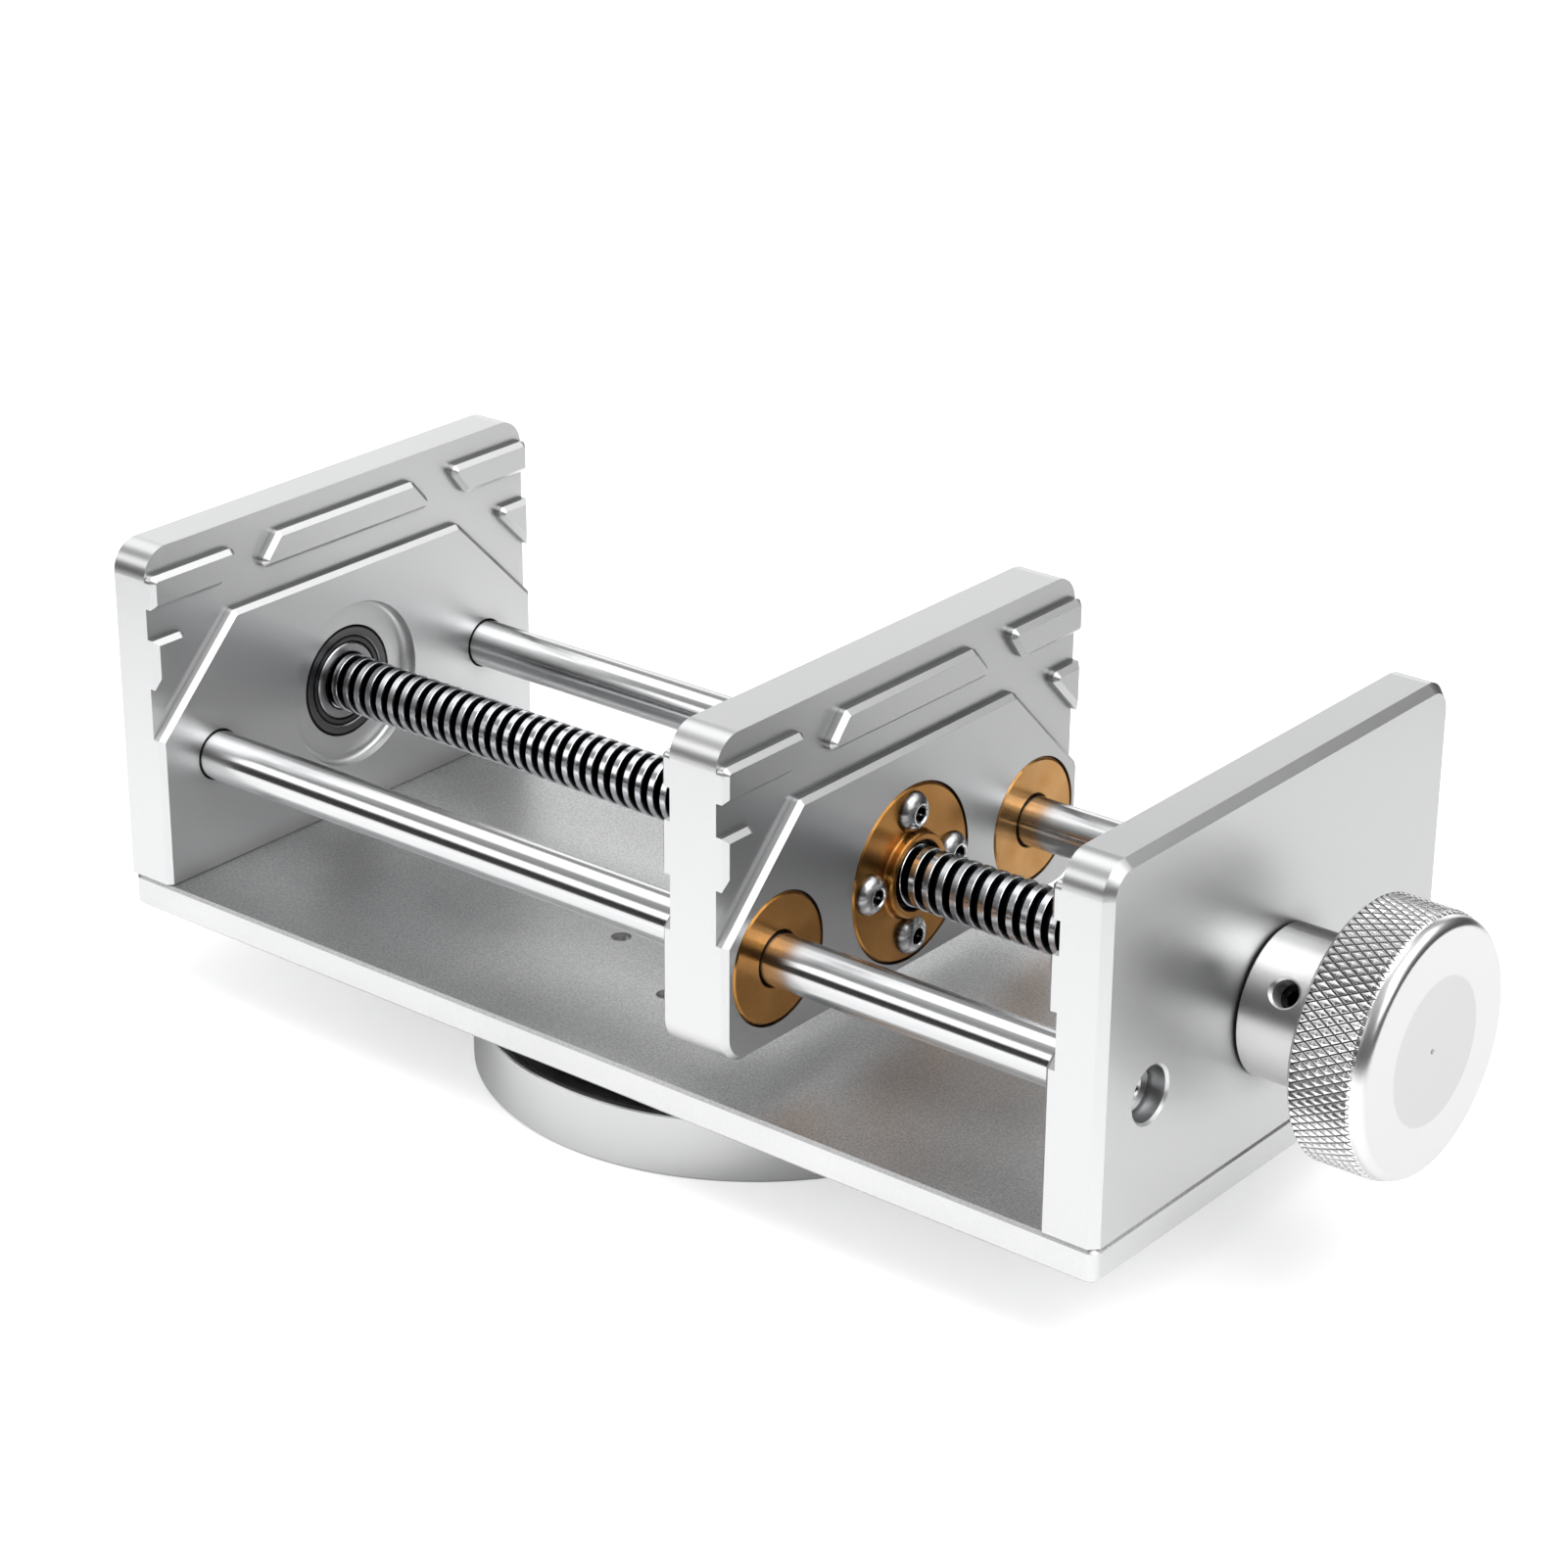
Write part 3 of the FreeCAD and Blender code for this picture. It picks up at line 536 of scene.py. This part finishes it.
def lathe_rings_group():
    # Fine rings of facing in the lathe, over the distance from the axis
    tree, nodes, links, given, out = new_group("lathe_rings", (
        ("Distance", "NodeSocketFloat", 0.0), ("Scale", "NodeSocketFloat", bronze_ring_scale)), (
        ("Rings", "NodeSocketFloat"),))
    rings = nodes.new("ShaderNodeTexNoise")
    rings.noise_dimensions = "1D"
    rings.inputs["Detail"].default_value = 2.0
    links.new(given["Distance"], rings.inputs["W"])
    links.new(given["Scale"], rings.inputs["Scale"])
    links.new(rings.outputs["Fac"], out["Rings"])
    return tree


def soft_edge_group():
    # Fine relief on a surface whose edges are a little broken
    tree, nodes, links, given, out = new_group("soft_edge", (
        ("Radius", "NodeSocketFloat", 0.0001), ("Depth", "NodeSocketFloat", 0.02),
        ("Height", "NodeSocketFloat", 0.5)), (("Normal", "NodeSocketVector"),))
    links.new(bevel_and_bump(
        nodes, links, given["Radius"], given["Depth"], soft_relief, given["Height"]),
        out["Normal"])
    return tree


def lathe_rings(nodes, links, distance, scale):
    node = use_group(nodes, facing_rings, Scale=scale)
    links.new(distance, node.inputs["Distance"])
    return node.outputs["Rings"]


def soft_edges(nodes, links, shader, height, radius, depth):
    node = use_group(nodes, soft_edge, Radius=radius, Depth=depth)
    links.new(height, node.inputs["Height"])
    links.new(node.outputs["Normal"], shader.inputs["Normal"])


def turned_bronze(name, axis, centre, shaded_mouth, dark, light):
    # The bore within its mouth is painted dark, as painted shade in the gap round the bar
    material, nodes, links, shader = new_material(name)
    place = own_place(nodes)
    distance = from_axis(nodes, links, place, centre, across_x if axis == "X" else across_z)
    rings = lathe_rings(nodes, links, distance, bronze_ring_scale)
    cloud = noise(nodes, links, place, scale=160.0, detail=4.0)
    colour_by(nodes, links, shader, cloud, ((0.25, dark), (0.75, light)))
    shade_by(nodes, links, shader, value_range(
        nodes, links, distance, (shaded_mouth, shaded_mouth + line_width), (0.02, 1.0)))
    rough_by(nodes, links, shader, rings, smooth=0.245, rough=0.26)
    soft_edges(nodes, links, shader, rings, radius=0.0001, depth=0.015)
    turned_shine(nodes, links, shader, axis, amount=1.0)
    shader.inputs["Metallic"].default_value = 1.0
    return material


facing_rings = lathe_rings_group()
soft_edge = soft_edge_group()
dress("lead_nut", turned_bronze(
    "nut_bronze", "X", screw_axis, nut_shaded_mouth, brown_bronze, golden_bronze))
dress("bush_front", turned_bronze(
    "front_bush_bronze", "X", (0.0, -rod_axis_y, rod_axis_z), bush_shaded_mouth,
    brown_bronze, golden_bronze))
# The rear bush is painted a paler copy of the same bronze, as painted light
dress("bush_rear", turned_bronze(
    "rear_bush_bronze", "X", (0.0, rod_axis_y, rod_axis_z), bush_shaded_mouth,
    golden_bronze, lit_bronze))
dress("pivot_thrust_washer", turned_bronze(
    "washer_bronze", "Z", (0.0, 0.0, 0.0), no_shaded_mouth, brown_bronze, golden_bronze))


# Stainless screws of every kind in the vise, and the pivot hub. The set screw and the spacer are
# near black, the spacer's black being painted shade in the gap behind the hub. Satin heads with
# softly worn edges, and painted shade in their sockets.

stainless_dark = (0.52, 0.522, 0.53)
stainless_light = (0.58, 0.582, 0.59)
near_black_dark = (0.015, 0.015, 0.016)
near_black_light = (0.03, 0.03, 0.031)
black_recess_shade = ((0.58, 0.01), (0.78, 1.0))
socket_reach = 0.002
steel_grain_scale = 1400.0


def fastener_steel(name, dark, light, smooth, rough):
    material, nodes, links, shader = new_material(name)
    fine = noise(nodes, links, own_place(nodes), steel_grain_scale, detail=3.0)
    colour_by(nodes, links, shader, fine, ((0.3, dark), (0.7, light)))
    # Painted shade, near black, in sockets and holes
    recess_shade(nodes, links, shader, open_to_itself, socket_reach, black_recess_shade)
    rough_by(nodes, links, shader, fine, smooth, rough)
    soft_edges(nodes, links, shader, fine, radius=0.00015, depth=0.03)
    shader.inputs["Metallic"].default_value = 1.0
    return material


open_to_itself = openness_group("open_to_itself", True)
stainless = fastener_steel(
    "stainless", stainless_dark, stainless_light, smooth=0.24, rough=0.28)
for screws in ("rod_screws_fixed_jaw", "rod_screws_end_plate", "fixed_jaw_screws",
               "end_plate_screws", "turntable_screws", "pivot_screw", "pivot_hub"):
    dress(screws, stainless)
near_black_steel = fastener_steel("near_black_steel", near_black_dark, near_black_light, smooth=0.3, rough=0.4)
for part in ("knob_set_screw", "thrust_spacer"):
    dress(part, near_black_steel)


# The nut's four button-headed screws, stainless, with painted shade, black, in the socket, a
# painted highlight ring round it, and painted light and shade over the dome and at its rim.

button_circle = 0.0125
button_radius = 4.0

# Tones over the distance from each screw's own axis, in millimetres, as painted light and shade
button_light_and_shade_tones = (
    (1.60, 0.012), (1.68, 0.90), (2.0, 0.90), (2.15, 0.38), (2.7, 0.50), (3.8, 0.42), (3.95, 0.12))


def button_steel():
    # All four screws lie on one circle, so their axes fold onto two
    material, nodes, links, shader = new_material("button_steel")
    place = own_place(nodes)
    shift = nodes.new("ShaderNodeVectorMath")
    shift.operation = "ADD"
    links.new(place, shift.inputs[0])
    shift.inputs[1].default_value = (0.0, 0.0, -screw_axis_z)
    quarter = mirrored(nodes, links, shift.outputs[0])
    nearest = nodes.new("ShaderNodeMath")
    nearest.operation = "MINIMUM"
    for index, centre in enumerate(((0.0, button_circle, 0.0), (0.0, 0.0, button_circle))):
        links.new(from_axis(nodes, links, quarter, centre), nearest.inputs[index])
    share = value_range(
        nodes, links, nearest.outputs[0], (0.0, button_radius / 1000), (0.0, 1.0))
    colour_by(nodes, links, shader, share, greys(
        [(reach / button_radius, tone) for reach, tone in button_light_and_shade_tones], 1.01))
    fine = noise(nodes, links, place, steel_grain_scale, detail=3.0)
    rough_by(nodes, links, shader, fine, smooth=0.24, rough=0.28)
    soft_edges(nodes, links, shader, fine, radius=0.0001, depth=0.02)
    shader.inputs["Metallic"].default_value = 1.0
    return material


dress("nut_screws", button_steel())


# The two ball bearings: ground rings with painted highlights on their broken edges and painted
# shade over the sunk outer ring, bright balls, and dark pressed shields with painted shade in the
# gaps on both sides.

# Which one, then its bore and its outside diameter in millimetres
bearings = (("rear", 12.0, 24.0), ("front", 10.0, 22.0))
ball_dark = (0.50, 0.50, 0.51)
ball_light = (0.56, 0.56, 0.57)


def bearing_light_and_shade_tones(width):
    # Tones from the bore outwards, in millimetres, over rings of this width: painted highlights on
    # the edges and painted shade in the gaps and over the outer ring
    return (
        (0.0, 0.02), (0.25, 0.02), (0.35, 0.30), (1.9, 0.34), (2.05, 0.60), (2.15, 0.01),
        (2.5, 0.01), (2.6, 0.10), (width - 2.75, 0.07), (width - 2.6, 0.01),
        (width - 2.3, 0.01), (width - 2.2, 0.45), (width - 2.0, 0.11), (width - 0.65, 0.14),
        (width - 0.55, 0.01), (width - 0.15, 0.01), (width, 0.60))


def bearing_face(name, bore, outer):
    material, nodes, links, shader = new_material(name)
    place = own_place(nodes)
    distance = from_axis(nodes, links, place, screw_axis)
    share = value_range(nodes, links, distance, (bore / 2000, outer / 2000), (0.0, 1.0))
    width = (outer - bore) / 2
    colour_by(nodes, links, shader, share, greys(
        [(reach / width, tone) for reach, tone in bearing_light_and_shade_tones(width)], 1.02))
    fine = noise(nodes, links, place, steel_grain_scale, detail=3.0)
    rough_by(nodes, links, shader, fine, smooth=0.30, rough=0.33)
    turned_shine(nodes, links, shader, "X", amount=0.8)
    shader.inputs["Metallic"].default_value = 1.0
    return material


ball_steel = fastener_steel("bearing_ball", ball_dark, ball_light, smooth=0.08, rough=0.12)
for end, bore, outer in bearings:
    face_steel = bearing_face(end + "_bearing_steel", bore, outer)
    for ring in ("_bearing_outer_ring", "_bearing_inner_ring", "_bearing_shields"):
        dress(end + ring, face_steel)
    dress(end + "_bearing_balls", ball_steel)


# The knob, turned from aluminium bar in one piece with its hub. The rim of the head has a diamond
# knurl between a narrow plain bevel and the rounded front shoulder, and the front is dished.

knob_back = 0.13455
knob_face = 0.14935
knob_radius = 0.0243
knob_face_radius = 0.0219
knob_shoulder = 0.0024
shoulder_steps = 16
knurl_setback = 0.0008
knurl_runout = 0.0034
runout_steps = 6
knurl_count = 84
knurl_length = 0.0034
knurl_depth = 0.00056
knurl_start = knob_back + knurl_setback
knurl_end = knob_face - knob_shoulder
tolerance = 0.00001

# Size and height of each diamond's steps, as shares of the whole
knurl_levels = ((1.0, 0.0), (0.84, 0.42), (0.26, 0.94), (0.1, 1.0))

# Tones over the distance from the axis, in millimetres, out to knob_reach
knob_reach = 25.0
# The head's dish is painted darker than the face, as painted shade
head_dish_shade_tones = ((13.5, 0.74), (13.8, 0.86))
rim_tones = ((13.5, 0.80), (24.3, 0.88))
hub_tones = ((13.0, 0.74), (14.2, 0.80))
knurl_groove_shade = ((0.50, 0.22), (0.76, 1.0))
knob_ring_scale = 3600.0


def knurl_sheet():
    # Flat sheet of diamonds: x runs along the knob, y round it in diamonds, z is the height
    mesh = bmesh.new()
    corners = ((0.5, 0.0), (0.0, -0.5), (-0.5, 0.0), (0.0, 0.5))
    half_rows = math.ceil(2 * (knurl_end - knurl_start) / knurl_length) + 2
    for row in range(-1, half_rows):
        for column in range(knurl_count):
            along = row / 2
            around = column + 0.5 * (row % 2)
            rings = []
            for share, height in knurl_levels:
                rings.append([mesh.verts.new((
                    knurl_start + knurl_length * (along + share * step_along),
                    around + share * step_around,
                    knurl_depth * height)) for step_along, step_around in corners])
            for ring, inner in zip(rings, rings[1:]):
                for index in range(4):
                    after = (index + 1) % 4
                    mesh.faces.new((ring[index], ring[after], inner[after], inner[index]))
            mesh.faces.new(rings[-1])
    bmesh.ops.remove_doubles(mesh, verts=mesh.verts, dist=1e-6)
    return mesh


def cut_sheet(mesh, x, side):
    # Cuts the sheet across at x, and drops what lies before or after it
    bmesh.ops.bisect_plane(
        mesh, geom=mesh.verts[:] + mesh.edges[:] + mesh.faces[:], plane_co=(x, 0, 0),
        plane_no=(1, 0, 0), clear_inner=side == "before", clear_outer=side == "after")


def knurled_rim():
    # The sheet rolled round the rim, where the grooves run out on the taper before the shoulder
    mesh = knurl_sheet()
    cut_sheet(mesh, knurl_start, "before")
    cut_sheet(mesh, knurl_end, "after")
    taper_start = knob_face - knurl_runout
    taper_length = knurl_end - taper_start
    for step in range(runout_steps):
        cut_sheet(mesh, taper_start + taper_length * step / runout_steps, "neither")
    for point in mesh.verts:
        x, around, height = point.co
        past = max(x - taper_start, 0.0) / taper_length
        radius = min(knob_radius - knurl_depth + height, knob_radius - knurl_depth * past)
        point.co = round_screw_axis(x, radius, 2 * math.pi * around / knurl_count)
    rim = bpy.data.meshes.new("knurled_rim")
    mesh.to_mesh(rim)
    mesh.free()
    return rim


def knurled_knob():
    # The turned knob as carried over, with its plain rim taken off and the knurled one put on
    mesh = bmesh.new()
    mesh.from_mesh(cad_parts["knob"].data)
    rim = []
    for face in mesh.faces:
        centre = face.calc_center_median()
        radius = math.hypot(centre.y, centre.z - screw_axis_z)
        if centre.x > knurl_start + tolerance and radius > knob_face_radius + tolerance:
            rim.append(face)
    bmesh.ops.delete(mesh, geom=rim, context="FACES")
    mesh.from_mesh(knurled_rim())
    shoulder_radius = knob_radius - knurl_depth
    shoulder = []
    for index in range(shoulder_steps + 1):
        angle = math.pi / 2 * index / shoulder_steps
        shoulder.append((
            knurl_end + knob_shoulder * math.sin(angle),
            knob_face_radius + (shoulder_radius - knob_face_radius) * math.cos(angle)))
    turned_rings(mesh, shoulder, 4 * knurl_count)
    turned_rings(mesh, (
        (knurl_start, knob_radius), (knurl_start, shoulder_radius)), 4 * knurl_count)
    return finish_mesh(mesh, "knob_knurled", sharp_degrees=28)


def knob_material(name, tones, reach, smooth, rough, recess=black_recess_shade):
    material, nodes, links, shader = new_material(name)
    distance = from_axis(nodes, links, own_place(nodes), screw_axis)
    rings = lathe_rings(nodes, links, distance, knob_ring_scale)
    share = value_range(nodes, links, distance, (0.0, knob_reach / 1000), (0.0, 1.0))
    colour_by(nodes, links, shader, share, greys(
        [(radius / knob_reach, tone) for radius, tone in tones]))
    # Painted shade in the knob's recesses and holes, and in the knurl's grooves on the rim
    recess_shade(nodes, links, shader, open_to_itself, reach, recess)
    rough_by(nodes, links, shader, rings, smooth, rough)
    soft_edges(nodes, links, shader, rings, radius=0.0001, depth=0.008)
    shader.inputs["Metallic"].default_value = 1.0
    return material, nodes, links, shader


def knob_part(face):
    # 0 for the head, 1 for the hub and 2 for the knurled rim
    reach = math.hypot(face.center.y, face.center.z - screw_axis_z)
    if face.center.x < knob_back - 10 * tolerance:
        return 1
    return 2 if knurl_start < face.center.x < knurl_end and reach > knob_face_radius else 0


knob = knurled_knob()
head_metal = knob_material(
    "knob_head_aluminium", head_dish_shade_tones, reach=0.0006, smooth=0.275, rough=0.29)
hub_metal = knob_material(
    "knob_hub_aluminium", hub_tones, reach=socket_reach, smooth=0.36, rough=0.40)
rim_metal = knob_material(
    "knob_rim_aluminium", rim_tones, reach=0.0009, smooth=0.20, rough=0.23,
    recess=knurl_groove_shade)
turned_shine(*hub_metal[1:], "X", amount=0.9)
knob.data.materials.clear()
for metal in (head_metal, hub_metal, rim_metal):
    knob.data.materials.append(metal[0])
for face in knob.data.polygons:
    face.material_index = knob_part(face)
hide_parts("knob")
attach(knob, "screw")


# The stage: a plain pale floor, a pale surround and large soft lights, with the camera where the
# photograph was taken from.

floor_radius = 0.45
floor_corners = 128
floor_glow = 0.56
contact_reach = 0.035
contact_samples = 4
white = (1.0, 1.0, 1.0, 1.0)

# What the metal sees of the floor, as tones over metres from its middle along floor_far
floor_far = (0.63, 0.78, 0.0)
floor_tones = ((0.04, 0.87), (0.13, 0.22), (0.22, 0.24), (0.30, 0.36))

# What the metal sees of the room, as tones over room_heights from 0 to 1
room_heights = (-0.1, 0.9)
room_tones = ((0.0, 0.05), (0.28, 0.05), (0.60, 0.20), (0.80, 0.40), (1.0, 0.60))

# Name, place, target, width and height in metres, and power in watts
lights = (
    ("overhead", (-0.75, 0.17, 1.25), (-0.1, 0, 0), 0.9, 1.5, 4.5),
    ("side", (-1.10, -1.42, 0.98), (0, 0, 0.05), 1.25, 0.68, 5.2),
    ("behind", (-1.87, 2.23, 0.75), (0, 0, 0.05), 3.6, 1.5, 21.0),
    ("front", (1.58, -0.5, 1.17), (0, 0, 0.05), 1.3, 0.85, 6.0),
    ("front_top", (0.76, 0.0, 1.28), (0, 0, 0.05), 1.1, 0.8, 8.0),
    ("far_side", (0.71, 1.23, 1.69), (0, 0, 0.05), 1.4, 0.9, 5.0))

# As fitted to the photo: degrees, then metres
camera_azimuth, camera_elevation, camera_roll = 38.714, 23.849, 0.455
camera_across, camera_up, camera_distance = 0.00536, -0.00076, 0.75654
camera_target = (0.0, 0.0, 0.05684)
camera_lens = 91.01


def seen_or_mirrored(nodes, links, mirrored_tone):
    # Mix that gives one colour to the camera, at its third socket, and another to the metal
    pick = nodes.new("ShaderNodeMix")
    pick.data_type = "RGBA"
    pick.inputs[7].default_value = white
    links.new(nodes.new("ShaderNodeLightPath").outputs["Is Camera Ray"], pick.inputs[0])
    links.new(mirrored_tone, pick.inputs[6])
    return pick


def floor_material():
    # White, and painted with a glow from within so that shadows stay pale; the glow that the metal
    # sees is painted darker away from the middle and painted with shadow near the pieces
    material, nodes, links, shader = new_material("pale_floor")
    place = own_place(nodes)
    drift = noise(nodes, links, place, scale=3.0, detail=2.0)
    colour = colour_ramp(nodes, links, drift, greys(((0.3, 0.86), (0.7, 0.88))))
    links.new(colour, shader.inputs["Base Color"])
    across = nodes.new("ShaderNodeVectorMath")
    across.operation = "DOT_PRODUCT"
    links.new(place, across.inputs[0])
    across.inputs[1].default_value = floor_far
    contact = nodes.new("ShaderNodeAmbientOcclusion")
    contact.samples = contact_samples
    contact.inputs["Distance"].default_value = contact_reach
    links.new(
        colour_ramp(nodes, links, across.outputs["Value"], greys(floor_tones)),
        contact.inputs["Color"])
    pick = seen_or_mirrored(nodes, links, contact.outputs["Color"])
    links.new(colour, pick.inputs[7])
    links.new(pick.outputs[2], shader.inputs["Emission Color"])
    shader.inputs["Emission Strength"].default_value = floor_glow
    shader.inputs["Roughness"].default_value = 0.9
    shader.inputs["Specular IOR Level"].default_value = 0.1
    return material


def pale_floor():
    corners = []
    for index in range(floor_corners):
        angle = 2 * math.pi * index / floor_corners
        corners.append((floor_radius * math.cos(angle), floor_radius * math.sin(angle), 0.0))
    mesh = bpy.data.meshes.new("floor")
    mesh.from_pydata(corners, [], [tuple(range(floor_corners))])
    mesh.materials.append(floor_material())
    floor = bpy.data.objects.new("floor", mesh)
    bpy.context.scene.collection.objects.link(floor)


def soft_light(name, place, target, width, height, power):
    data = bpy.data.lights.new(name, "AREA")
    data.shape = "RECTANGLE"
    data.size = width
    data.size_y = height
    data.energy = power
    light = bpy.data.objects.new(name, data)
    light.location = place
    light.rotation_euler = (Vector(target) - Vector(place)).to_track_quat("-Z", "Y").to_euler()
    light.visible_camera = False
    bpy.context.scene.collection.objects.link(light)


def photo_camera():
    azimuth, elevation, roll = map(
        math.radians, (camera_azimuth, camera_elevation, camera_roll))
    back = Vector((
        math.sin(azimuth) * math.cos(elevation), -math.cos(azimuth) * math.cos(elevation),
        math.sin(elevation)))
    right = (-back).cross(Vector((0, 0, 1))).normalized()
    up = right.cross(-back)
    right, up = (
        math.cos(roll) * right + math.sin(roll) * up, math.cos(roll) * up - math.sin(roll) * right)
    data = bpy.data.cameras.new("camera")
    data.sensor_fit = "HORIZONTAL"
    data.sensor_width = 36.0
    data.lens = camera_lens
    data.clip_end = 50.0
    camera = bpy.data.objects.new("camera", data)
    place = (
        Vector(camera_target) + camera_across * right + camera_up * up + camera_distance * back)
    turned = Matrix((right, up, back)).transposed().to_4x4()
    camera.matrix_world = Matrix.Translation(place) @ turned
    bpy.context.scene.collection.objects.link(camera)
    bpy.context.scene.camera = camera


def pale_surround():
    # Dark studio for the metal to mirror, darkest along the horizon; plain and pale to the camera
    world = bpy.data.worlds.new("surround")
    world.use_nodes = True
    bpy.context.scene.world = world
    nodes = world.node_tree.nodes
    links = world.node_tree.links
    split = nodes.new("ShaderNodeSeparateXYZ")
    links.new(nodes.new("ShaderNodeTexCoord").outputs["Generated"], split.inputs[0])
    height = value_range(nodes, links, split.outputs["Z"], room_heights, (0.0, 1.0))
    room = colour_ramp(nodes, links, height, greys(room_tones))
    pick = seen_or_mirrored(nodes, links, room)
    links.new(pick.outputs[2], nodes["Background"].inputs["Color"])


pale_floor()
for light in lights:
    soft_light(*light)
photo_camera()
pale_surround()
bpy.context.scene.view_settings.view_transform = "Standard"
